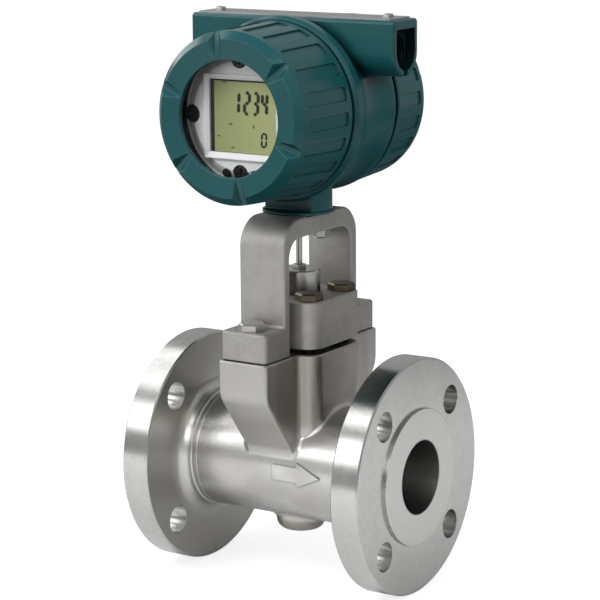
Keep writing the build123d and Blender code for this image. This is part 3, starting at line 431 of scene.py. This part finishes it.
def bronzed_finish():
    """Browned bolt steel, with painted shade that turns it nearly black down in the gap round the
    gasket.
    """
    finish = Finish("bronzed_bolt_steel", METAL)
    z = finish.axes()[2]
    clouds = finish.noise(scale=180.0, detail=4.0)
    shade = finish.clouded(clouds, BRONZED_STEEL, low=0.75, high=1.25)
    # Painted shade: nearly black below the block's underside, and darker in hollows
    shade = finish.blend(finish.ramp(z, *GAP_TO_BLOCK), GAP_SHADE, shade)
    finish.set("Base Color", finish.shaded_in_hollows(shade, tinted(BRONZED_STEEL, 0.3), distance=3.0 * MM))
    finish.roughen(0.30, (clouds, 0.12))
    finish.emboss(clouds, depth=0.03 * MM, strength=0.5, edge=0.25 * MM)
    return finish.material


def moulded(name, color, roughness, grain=0.01 * MM):
    """Moulded plastic or rubber with a faint grain."""
    finish = Finish(name)
    clouds = finish.noise(scale=120.0)
    finish.set("Base Color", finish.clouded(clouds, color, low=0.94, high=1.05))
    finish.roughen(roughness, (clouds, 0.08))
    pores = finish.noise(scale=2200.0, detail=2.0)
    finish.emboss(pores, depth=grain, strength=0.5, edge=0.2 * MM)
    return finish.material


def glass_finish():
    """Clear window glass with faint smears."""
    finish = Finish("window_glass", {"Base Color": (*GLASS_TINT, 1.0), "Alpha": 0.06})
    smears = finish.ramp(finish.noise(scale=40.0), low=0.5, high=0.8)
    finish.roughen(0.02, (smears, 0.03))
    return finish.material


def lcd_finish():
    """An unlit liquid crystal panel: even olive, paler to the right as painted light, with faint
    cell columns.
    """
    finish = Finish("lcd_glass")
    x = finish.axes()[0]
    across = finish.ramp(x, LCD_LOW.x, LCD_HIGH.x)
    columns = ripple(x, pitch=1.1 * MM) * 0.5 + 0.5
    # Painted light and shade across the panel: darker to the left, paler to the right
    shade = finish.clouded(across, LCD_OLIVE, low=0.86, high=1.14)
    shade = finish.stained(shade, tinted(LCD_OLIVE, 0.55), columns, amount=0.07)
    finish.set("Base Color", shade)
    finish.roughen(0.32, (finish.noise(scale=60.0), 0.06))
    return finish.material


blasted = blasted_finish()
cast = cast_finish()
turned = turned_finish()
polished = polished_finish()
bronzed = bronzed_finish()
bright = plain_metal("bolt_steel", BOLT_STEEL, roughness=0.23)
plate = plain_metal("plate_metal", PLATE_METAL, roughness=0.31, edge=0.15 * MM)
brass = plain_metal("standoff_brass", BRASS, roughness=0.25)
enamel = enamel_finish()
glass = glass_finish()
lcd = lcd_finish()
white = moulded("white_plastic", PALE_PLASTIC, roughness=0.41)
frame_white = moulded("frame_plastic", PALE_PLASTIC, roughness=0.31)
black = moulded("black_plastic", BLACK, roughness=0.34)
dark_grey = moulded("grey_plastic", GREY_PLASTIC, roughness=0.46)
rubber = moulded("black_rubber", BLACK, roughness=0.61, grain=0.02 * MM)
graphite = moulded("graphite_gasket", GRAPHITE, roughness=0.56, grain=0.02 * MM)
circuit = moulded("circuit_board", BOARD_GREEN, roughness=0.31)
digit_black = moulded("digit_black", DIGIT_BLACK, roughness=0.51)
faint_black = moulded("faint_black", MARK_OLIVE, roughness=0.51)

FINISHES = {
    cast: ["meter_body"],
    blasted: ["bracket", "shedder_block"],
    turned: ["inlet_flange", "outlet_flange"],
    polished: ["shedder_bar", "vibration_sensor", "sensor_cap", "lead_tube_gland", "lead_tube"],
    bronzed: ["shedder_bolts"],
    bright: [
        "bracket_bolts", "neck_screws", "amplifier_screws", "terminal_screws",
        "terminal_fixing_screws",
    ],
    plate: ["nameplate", "nameplate_screws"],
    brass: ["display_standoffs"],
    enamel: ["housing_body", "front_cover", "rear_cover"],
    glass: ["window_glass"],
    lcd: ["lcd_panel"],
    white: ["display_bezel"],
    black: ["glass_retainer", "display_screws", "left_button", "right_button"],
    dark_grey: ["amplifier_unit", "terminal_block"],
    rubber: ["window_gasket", "front_o_ring", "rear_o_ring"],
    graphite: ["shedder_gasket"],
    circuit: ["display_board"],
}

SHARP_ANGLE = math.radians(28.0)
MERGE_DISTANCE = 0.002 * MM


def smooth_by_angle(obj):
    """Joins the loose triangles for shading and keeps the sharper edges crisp."""
    obj.data.shade_smooth()
    weld = obj.modifiers.new("weld", "WELD")
    weld.merge_threshold = MERGE_DISTANCE
    split = obj.modifiers.new("split", "EDGE_SPLIT")
    split.use_edge_sharp = False
    split.split_angle = SHARP_ANGLE


for material, names in FINISHES.items():
    for name in names:
        mesh = nodes[name].data
        mesh.materials.clear()
        mesh.materials.append(material)
        smooth_by_angle(nodes[name])


def mesh_object(name, bm, material):
    """Turns a bmesh into an object of one material, at the origin."""
    mesh = bpy.data.meshes.new(name)
    bm.to_mesh(mesh)
    bm.free()
    mesh.materials.append(material)
    obj = bpy.data.objects.new(name, mesh)
    bpy.context.scene.collection.objects.link(obj)
    return obj


def new_piece(name, bm, material, body):
    """Turns a bmesh into a finished piece that rides on a body."""
    bmesh.ops.recalc_face_normals(bm, faces=bm.faces)
    obj = mesh_object(name, bm, material)
    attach(obj, body)
    return obj


def closed_outline(bm, corners):
    """Adds a closed outline, and returns its corners and edges."""
    verts = [bm.verts.new(corner) for corner in corners]
    edges = [bm.edges.new(pair) for pair in zip(verts, verts[1:] + verts[:1])]
    return verts + edges


def spin_ring(bm, corners, axis, centre, steps):
    """Spins a closed outline once about an axis into a ring of faces."""
    bmesh.ops.spin(
        bm, geom=closed_outline(bm, corners), cent=centre, axis=axis, angle=FULL_TURN,
        steps=steps, use_merge=True,
    )


def add_box(bm, low, high):
    """Adds a box between two corners."""
    made = bmesh.ops.create_cube(bm, size=1.0)
    size = Vector(high) - Vector(low)
    bmesh.ops.scale(bm, vec=size, verts=made["verts"])
    bmesh.ops.translate(bm, vec=Vector(low) + size / 2, verts=made["verts"])


# The figures on the panel are made of seven segments, each a bar with pointed ends
SEGMENTS = {
    "0": "abcdef", "1": "bc", "2": "abged", "3": "abgcd", "4": "fgbc",
}
SEGMENT_ENDS = {
    "a": ((0, 1), (1, 1)), "b": ((1, 1), (1, 0.5)), "c": ((1, 0.5), (1, 0)),
    "d": ((1, 0), (0, 0)), "e": ((0, 0), (0, 0.5)), "f": ((0, 0.5), (0, 1)),
    "g": ((0, 0.5), (1, 0.5)),
}
SEGMENT_GAP = 0.06
DIGIT_SLANT = 0.06
DIGIT_DEPTH = 0.06 * MM

# The large row: its corner from the panel's middle and the housing's axis, and its pitch
ROW_CORNER_X = -5.9 * MM
ROW_CORNER_Z = 0.7 * MM
ROW_PITCH = 5.3 * MM
ROW_FIGURE = {"width": 4.7 * MM, "height": 12.6 * MM, "thickness": 1.95 * MM}
ONE_SHIFT = 1.1 * MM

# The small figure below the row, placed in the same way
SMALL_CORNER_X = 10.1 * MM
SMALL_CORNER_Z = -15.2 * MM
SMALL_FIGURE = {"width": 3.8 * MM, "height": 7.8 * MM, "thickness": 1.15 * MM}

# Faint marks on the panel: place from its middle, width and height, in millimetres
MARK_DEPTH = 0.03 * MM
MARKS = [
    (-9.2, -4.6, 2.2, 0.9), (5.4, -5.6, 1.1, 1.9), (-16.2, -10.9, 1.6, 0.8),
    (-7.8, -16.6, 2.0, 0.9), (-13.4, 17.0, 3.4, 0.7),
]

# The painted shadow on the panel: a black strip along its left and top
SHADOW_STRIP_DEPTH = 0.1 * MM
SHADOW_STRIP_LEFT_WIDTH = 2.0 * MM
SHADOW_STRIP_TOP_WIDTH = 0.7 * MM

# The window frame's section: how far out from the panel, and how proud of the bezel
FRAME_INSET = 0.3 * MM
FRAME_STEPS = [(0.0, 0.02 * MM), (2.1 * MM, 1.3 * MM), (2.6 * MM, 1.3 * MM), (2.9 * MM, 0.02 * MM)]
FRAME_SILL = 1.25
FRAME_ROUND = 0.12 * MM


def add_segment(bm, start, end, thickness, front_y):
    """One bar with pointed ends, standing just proud of the panel."""
    along = (end - start).normalized()
    across = Vector((-along.z, 0, along.x)) * thickness / 2
    inset = along * thickness * SEGMENT_GAP
    tip = along * thickness / 2
    outline = [
        start + inset, start + inset + tip + across, end - inset - tip + across,
        end - inset, end - inset - tip - across, start + inset + tip - across,
    ]
    verts = [bm.verts.new((p.x, front_y, p.z)) for p in outline]
    face = bm.faces.new(verts)
    made = bmesh.ops.extrude_face_region(bm, geom=[face])
    moved = [v for v in made["geom"] if isinstance(v, bmesh.types.BMVert)]
    bmesh.ops.translate(bm, verts=moved, vec=(0, -DIGIT_DEPTH, 0))


def add_digit(bm, figure, corner, width, height, thickness):
    """Adds one figure with its lower left corner at corner."""
    for letter in SEGMENTS[figure]:
        ends = []
        for u, v in SEGMENT_ENDS[letter]:
            x = corner.x + u * (width - thickness) + thickness / 2
            z = corner.z + v * (height - thickness) + thickness / 2
            ends.append(Vector((x + (z - corner.z) * DIGIT_SLANT, 0, z)))
        add_segment(bm, ends[0], ends[1], thickness, corner.y)


def lcd_digits():
    """A large row reading 1234, and a small 0 below it."""
    bm = bmesh.new()
    front = LCD_LOW.y
    for place, figure in enumerate("1234"):
        x = LCD_MIDDLE_X + ROW_CORNER_X + place * ROW_PITCH
        corner = Vector((x, front, HOUSING_Z + ROW_CORNER_Z))
        if figure == "1":
            corner.x -= ONE_SHIFT
        add_digit(bm, figure, corner, **ROW_FIGURE)
    corner = Vector((LCD_MIDDLE_X + SMALL_CORNER_X, front, HOUSING_Z + SMALL_CORNER_Z))
    add_digit(bm, "0", corner, **SMALL_FIGURE)
    new_piece("lcd_digits", bm, digit_black, "meter")


def lcd_shadow_strip():
    """A black strip painted as the shadow on the panel: broad on the left and thin along the top.
    """
    bm = bmesh.new()
    front = LCD_LOW.y - SHADOW_STRIP_DEPTH
    left = LCD_LOW.x + SHADOW_STRIP_LEFT_WIDTH
    top = LCD_HIGH.z - SHADOW_STRIP_TOP_WIDTH
    add_box(bm, (LCD_LOW.x, front, LCD_LOW.z), (left, LCD_LOW.y, LCD_HIGH.z))
    add_box(bm, (left, front, top), (LCD_HIGH.x, LCD_LOW.y, LCD_HIGH.z))
    new_piece("lcd_shadow_strip", bm, black, "meter")


def lcd_marks():
    """Small faint marks on the panel, where the real one shows its units."""
    bm = bmesh.new()
    for x, z, width, height in MARKS:
        low = (LCD_MIDDLE_X + x * MM, LCD_LOW.y - MARK_DEPTH, HOUSING_Z + z * MM)
        high = (low[0] + width * MM, LCD_LOW.y, low[2] + height * MM)
        add_box(bm, low, high)
    new_piece("lcd_marks", bm, faint_black, "meter")


def lcd_frame():
    """The pale window frame round the panel: its four sides slope in towards the glass."""
    bm = bmesh.new()
    inner_low = Vector((LCD_LOW.x - FRAME_INSET, 0, LCD_LOW.z - FRAME_INSET))
    inner_high = Vector((LCD_HIGH.x + FRAME_INSET, 0, LCD_HIGH.z + FRAME_INSET))
    loops = []
    for reach, lift in FRAME_STEPS:
        front = BEZEL_FRONT_Y - lift
        corners = [
            (inner_low.x - reach, front, inner_low.z - reach * FRAME_SILL),
            (inner_high.x + reach, front, inner_low.z - reach * FRAME_SILL),
            (inner_high.x + reach, front, inner_high.z + reach),
            (inner_low.x - reach, front, inner_high.z + reach),
        ]
        loops.append([bm.verts.new(corner) for corner in corners])
    for start, end in zip(loops, loops[1:] + loops[:1]):
        for i in range(4):
            j = (i + 1) % 4
            bm.faces.new((start[i], start[j], end[j], end[i]))
    bmesh.ops.bevel(
        bm, geom=list(bm.edges), affect="EDGES", offset=FRAME_ROUND, segments=2, profile=0.5,
        material=-1,
    )
    new_piece("lcd_frame", bm, frame_white, "meter")


# The seal ring lies in the recess between the housing's rear rim and the cover
SEAL_INNER = 43.45 * MM
SEAL_OUTER = 44.6 * MM
SEAL_CLEARANCE = 0.1 * MM
SEAL_FROM_REAR_END = 34.2 * MM
SEAL_STEPS = 128


def joint_seal():
    """The black ring in the joint between the housing and the rear cover."""
    bm = bmesh.new()
    front = HOUSING_HIGH.y + SEAL_CLEARANCE
    back = REAR_END_Y - SEAL_FROM_REAR_END
    section = [
        (0, front, HOUSING_Z + SEAL_INNER), (0, front, HOUSING_Z + SEAL_OUTER),
        (0, back, HOUSING_Z + SEAL_OUTER), (0, back, HOUSING_Z + SEAL_INNER),
    ]
    spin_ring(bm, section, (0, 1, 0), (0, 0, HOUSING_Z), SEAL_STEPS)
    seal = new_piece("rear_joint_seal", bm, rubber, "rear_cover")
    smooth_by_angle(seal)


# The weld beads stand a little proud of the tube, on a root inside it
BEAD_WIDTH = 6.0 * MM
BEAD_HEIGHT = 0.10 * MM
BEAD_ROOT = 0.5 * MM
BEAD_ARC_STEPS = 6

# Their ripples and swells, counted round the pipe, with heights as shares of the bead's own,
# and how often and how far the beads sway along the pipe
RIPPLE_COUNT = 110
RIPPLE_STEPS = 4
RIPPLE_HEIGHT = 0.14
RIPPLE_CURVE = 2.5
SWELL_COUNT = 7
SWELL_HEIGHT = 0.08
SWAY_COUNT = 5
SWAY_START = 1.0
SWAY_WIDTH = 0.08 * MM


def weld_bead(name, x):
    """A low rippled bead round the joint between the tube and a flange's hub."""
    bm = bmesh.new()
    half = BEAD_WIDTH / 2
    outline = []
    for step in range(BEAD_ARC_STEPS + 1):
        angle = math.pi * step / BEAD_ARC_STEPS
        height = TUBE_RADIUS + math.sin(angle) * BEAD_HEIGHT
        outline.append((x - math.cos(angle) * half, 0, height))
    outline.append((x + half, 0, TUBE_RADIUS - BEAD_ROOT))
    outline.append((x - half, 0, TUBE_RADIUS - BEAD_ROOT))
    spin_ring(bm, outline, (1, 0, 0), (0, 0, 0), RIPPLE_STEPS * RIPPLE_COUNT)
    for vert in bm.verts:
        radius = math.hypot(vert.co.y, vert.co.z)
        proud = radius - TUBE_RADIUS
        if proud <= 0:
            continue
        angle = math.atan2(vert.co.z, vert.co.y)
        side = (vert.co.x - x) / half
        ripples = math.sin(RIPPLE_COUNT * angle + RIPPLE_CURVE * side * side) * RIPPLE_HEIGHT
        swells = math.sin(SWELL_COUNT * angle) * SWELL_HEIGHT
        scale = (TUBE_RADIUS + proud * (1 + ripples + swells)) / radius
        vert.co.y *= scale
        vert.co.z *= scale
        vert.co.x += math.sin(SWAY_COUNT * angle + SWAY_START) * SWAY_WIDTH
    bead = new_piece(name, bm, cast, "meter")
    bead.data.shade_smooth()


# The cable entries have a fine thread, a ridge with a thin V for its section
THREAD_PITCH = 1.5 * MM
THREAD_RADIUS = 9.2 * MM
THREAD_ROOT = 0.02 * MM
THREAD_HEIGHT = 0.44 * MM
THREAD_HALF_WIDTH = 0.57 * MM
THREAD_START = 6.8 * MM
THREAD_TURNS = 12
THREAD_STEPS = 48


def entry_thread(name, side):
    """A helical ridge inside the cable entry on one side."""
    bm = bmesh.new()
    x = side * (HOUSING_HIGH.x - THREAD_START)
    wall_z = ENTRY_AXIS_Z + THREAD_RADIUS
    section = [
        (x + side * THREAD_HALF_WIDTH, ENTRY_AXIS_Y, wall_z + THREAD_ROOT),
        (x, ENTRY_AXIS_Y, wall_z - THREAD_HEIGHT),
        (x - side * THREAD_HALF_WIDTH, ENTRY_AXIS_Y, wall_z + THREAD_ROOT),
    ]
    bmesh.ops.spin(
        bm, geom=closed_outline(bm, section), cent=(x, ENTRY_AXIS_Y, ENTRY_AXIS_Z),
        axis=(1, 0, 0), dvec=(-side * THREAD_PITCH / THREAD_STEPS, 0, 0),
        angle=FULL_TURN * THREAD_TURNS, steps=THREAD_STEPS * THREAD_TURNS, use_merge=False,
    )
    bmesh.ops.holes_fill(bm, edges=[e for e in bm.edges if e.is_boundary], sides=3)
    new_piece(name, bm, enamel, "meter")


lcd_digits()
lcd_shadow_strip()
lcd_marks()
lcd_frame()
joint_seal()
weld_bead("inlet_weld_bead", -WELD_X)
weld_bead("outlet_weld_bead", WELD_X)
entry_thread("left_entry_thread", -1)
entry_thread("right_entry_thread", 1)

# The studio: a pale table top in a grey room, with white panels low and high and a darker ceiling.
# Azimuths turn from the front towards the right, and elevations are seen from the meter.
WALL_RADIUS = 1.7
WALL_STEPS = 64
CEILING_STEPS = 96
VIEW_HEIGHT = 0.09
LOW_WHITE_START = 13.6
GAP_START = 34.5
HIGH_WHITE_START = 45.0
CEILING_START = 56.0
ALL_ROUND = (0, 360)
LIGHT_SIDE = (-125, 42)
DARK_SIDE = (42, 235)

# The floor to the camera: a grey that takes the shadow, lifted to white by its own light
FLOOR_SIZE = 6.0
FLOOR_DROP = 0.2 * MM
FLOOR_SHADED = grey(0.35)
FLOOR_LIFT = grey(0.80)

# The floor in reflections: lit within the table, dark behind it, and with a painted shadow a
# little darker below the meter
FLOOR_LIT = grey(0.70)
FLOOR_GLOW = grey(0.12)
FLOOR_DARK = grey(0.22)
TABLE_CENTRE = (-0.15, -0.22)
TABLE_RADIUS = 0.85
TABLE_EDGE = (TABLE_RADIUS * 0.7, TABLE_RADIUS * 1.3)
TABLE_REAR = (0.40, 0.56)
TABLE_REAR_SLOPE = 0.5
BELOW_EDGE = (0.05, 0.20)
BELOW_LENGTHENING = 0.4
BELOW_LEVEL = 0.84

# The surround's strength, as light on the object and as seen by the camera and in reflections
WORLD_AS_LIGHT = 0.60
WORLD_AS_SEEN = 1.0


def direction(azimuth, elevation):
    """The unit vector from the meter towards this azimuth and elevation."""
    turn, rise = math.radians(azimuth), math.radians(elevation)
    return Vector((
        math.sin(turn) * math.cos(rise), -math.cos(turn) * math.cos(rise), math.sin(rise),
    ))


def height_at(elevation):
    """The height on the round wall that is seen at this elevation from the meter."""
    return VIEW_HEIGHT + WALL_RADIUS * math.tan(math.radians(elevation))


def stage_object(name, bm, material):
    """Turns a bmesh into an object of one material, which rides on no body of the meter."""
    obj = mesh_object(name, bm, material)
    return obj


def floor():
    """A wide pale floor: white to the camera, with the shadow, and in reflections a table top."""
    bm = bmesh.new()
    bmesh.ops.create_grid(bm, x_segments=1, y_segments=1, size=FLOOR_SIZE)
    bmesh.ops.translate(bm, verts=bm.verts, vec=(0, 0, FLOOR_Z - FLOOR_DROP))
    constants = {"Roughness": 0.9, "Specular IOR Level": 0.0, "Emission Strength": 1.0}
    finish = Finish("pale_floor", constants)
    camera_ray = finish.node("ShaderNodeLightPath", {}, "Is Camera Ray")
    glossy_ray = finish.node("ShaderNodeLightPath", {}, "Is Glossy Ray")
    x, y, _ = finish.axes()
    away = hypot(x - TABLE_CENTRE[0], y - TABLE_CENTRE[1])
    beyond = finish.ramp(away, *TABLE_EDGE)
    behind = finish.ramp(y - x * TABLE_REAR_SLOPE, *TABLE_REAR)
    from_meter = (x * x * BELOW_LENGTHENING + y * y).math("SQRT")
    # Painted shadow: the floor a little darker below the meter in reflections
    below = BELOW_LEVEL + (1.0 - BELOW_LEVEL) * finish.ramp(from_meter, *BELOW_EDGE)
    lit = (1.0 - beyond) * (1.0 - behind) * below * glossy_ray
    reflected = finish.blend(lit, FLOOR_DARK, FLOOR_LIT)
    glow = finish.blend(lit, grey(0.0), FLOOR_GLOW)
    finish.set("Base Color", finish.blend(camera_ray, reflected, FLOOR_SHADED))
    finish.set("Emission Color", finish.blend(camera_ray, glow, FLOOR_LIFT))
    stage_object("floor", bm, finish.material)


def reflected_card(name, bm, level):
    """A studio card of an even brightness, which only reflections see."""
    finish = Finish(name, {
        "Base Color": (*grey(0.0), 1.0), "Roughness": 1.0, "Specular IOR Level": 0.0,
        "Emission Color": (*grey(level), 1.0), "Emission Strength": 1.0,
    })
    card = stage_object(name, bm, finish.material)
    card.visible_camera = False
    card.visible_shadow = False
    card.visible_diffuse = False
    card.visible_transmission = False


def wall_card(name, low, high, azimuths, level):
    """A strip of a round wall, from one height to another and from one azimuth to another."""
    bm = bmesh.new()
    start, end = azimuths
    spot = direction(start, 0) * WALL_RADIUS
    verts = [bm.verts.new((spot.x, spot.y, height)) for height in (low, high)]
    edge = bm.edges.new(verts)
    bmesh.ops.spin(
        bm, geom=verts + [edge], cent=(0, 0, 0), axis=(0, 0, 1), angle=math.radians(end - start),
        steps=WALL_STEPS, use_merge=azimuths == ALL_ROUND,
    )
    reflected_card(name, bm, level)


def ceiling_card(level):
    """A round ceiling over the studio."""
    bm = bmesh.new()
    made = bmesh.ops.create_circle(bm, cap_ends=True, segments=CEILING_STEPS, radius=WALL_RADIUS)
    bmesh.ops.translate(bm, verts=made["verts"], vec=(0, 0, height_at(CEILING_START)))
    reflected_card("ceiling_card", bm, level)


def area_light(name, azimuth, elevation, distance, size, power):
    """A soft box aimed at the meter from this azimuth and elevation."""
    light = bpy.data.lights.new(name, "AREA")
    light.shape = "RECTANGLE"
    light.size, light.size_y = size
    light.energy = power
    obj = bpy.data.objects.new(name, light)
    bpy.context.scene.collection.objects.link(obj)
    away = direction(azimuth, elevation)
    obj.location = Vector((0, 0, VIEW_HEIGHT)) + away * distance
    obj.rotation_mode = "QUATERNION"
    obj.rotation_quaternion = (-away).to_track_quat("-Z", "Y")
    obj.visible_glossy = False


def studio_world():
    """A white surround for the camera and reflections, and a dimmer one that lights the object."""
    world = bpy.data.worlds.new("studio")
    bpy.context.scene.world = world
    world.use_nodes = True
    tree = world.node_tree
    background = tree.nodes["Background"]
    background.inputs["Color"].default_value = (1.0, 1.0, 1.0, 1.0)
    path = tree.nodes.new("ShaderNodeLightPath")
    seen = path.outputs["Is Camera Ray"]
    for name in ("Is Glossy Ray", "Is Transmission Ray"):
        either = tree.nodes.new("ShaderNodeMath")
        either.operation = "MAXIMUM"
        tree.links.new(seen, either.inputs[0])
        tree.links.new(path.outputs[name], either.inputs[1])
        seen = either.outputs[0]
    strength = tree.nodes.new("ShaderNodeMapRange")
    strength.inputs["To Min"].default_value = WORLD_AS_LIGHT
    strength.inputs["To Max"].default_value = WORLD_AS_SEEN
    tree.links.new(seen, strength.inputs["Value"])
    tree.links.new(strength.outputs["Result"], background.inputs["Strength"])


def photo_camera():
    """The camera that took the photograph."""
    back = direction(CAMERA_AZIMUTH, CAMERA_ELEVATION)
    data = bpy.data.cameras.new("photo_camera")
    data.sensor_width = SENSOR_WIDTH
    data.lens = FOCAL_PIXELS * SENSOR_WIDTH / FRAME_PIXELS
    data.clip_start, data.clip_end = CAMERA_CLIP
    camera = bpy.data.objects.new("photo_camera", data)
    bpy.context.scene.collection.objects.link(camera)
    aim = (-back).to_track_quat("-Z", "Y").to_matrix().to_4x4()
    camera.matrix_world = (
        Matrix.Translation(CAMERA_TARGET + back * CAMERA_DISTANCE) @ aim
        @ Matrix.Rotation(math.radians(CAMERA_ROLL), 4, "Z")
    )
    bpy.context.scene.camera = camera


low_white, gap = height_at(LOW_WHITE_START), height_at(GAP_START)
high_white, ceiling = height_at(HIGH_WHITE_START), height_at(CEILING_START)

floor()
studio_world()
wall_card("wall_card", FLOOR_Z, low_white, ALL_ROUND, level=0.36)
wall_card("low_white_card", low_white, gap, LIGHT_SIDE, level=2.5)
wall_card("gap_card", gap, high_white, LIGHT_SIDE, level=0.30)
wall_card("high_white_card", high_white, ceiling, LIGHT_SIDE, level=2.2)
wall_card("rear_card", low_white, ceiling, DARK_SIDE, level=0.42)
ceiling_card(level=0.22)
area_light(
    "high_key_light", azimuth=-30, elevation=46, distance=1.6, size=(0.8, 0.6), power=17.0,
)
area_light(
    "low_key_light", azimuth=-24, elevation=16, distance=1.6, size=(0.8, 0.6), power=5.0,
)
area_light(
    "fill_light", azimuth=85, elevation=26, distance=1.7, size=(0.9, 0.6), power=9.0,
)
photo_camera()
bpy.context.scene.view_settings.view_transform = "Standard"
